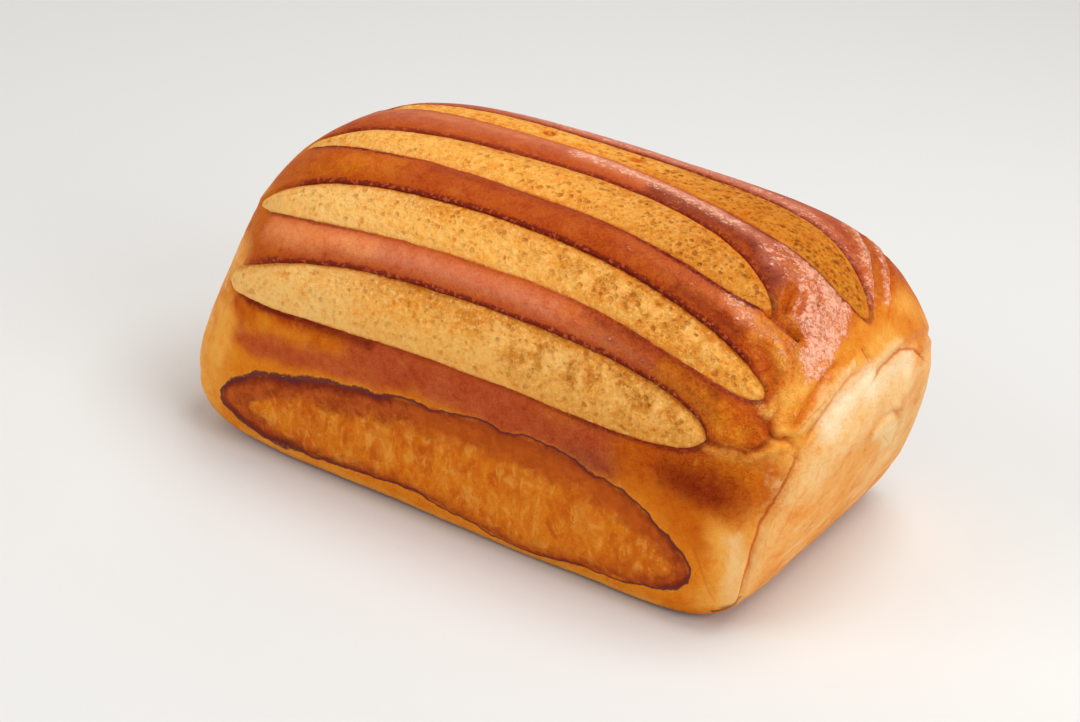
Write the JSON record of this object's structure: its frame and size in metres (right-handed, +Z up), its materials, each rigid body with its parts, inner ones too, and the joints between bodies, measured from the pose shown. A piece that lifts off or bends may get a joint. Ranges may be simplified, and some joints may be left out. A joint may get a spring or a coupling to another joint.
{
  "type": "tin loaf",
  "caption": "Whole glazed loaf baked in an open tin: flat base and upright walls, with a risen crown scored lengthwise so that pale crumb shows between brown strips.",
  "frame": {"origin": "middle of the flat base that the loaf rests on", "axes": "+X along the loaf, -Y its long front side, +Z up"},
  "size_m": [0.2194, 0.1316, 0.1073],
  "materials": {
    "crust": "egg-glazed brown crust, softly glossy on the crown and dull on the tin-baked walls"
  },
  "bodies": {
    "root": {"loaf": "crust"}
  },
  "joints": []
}
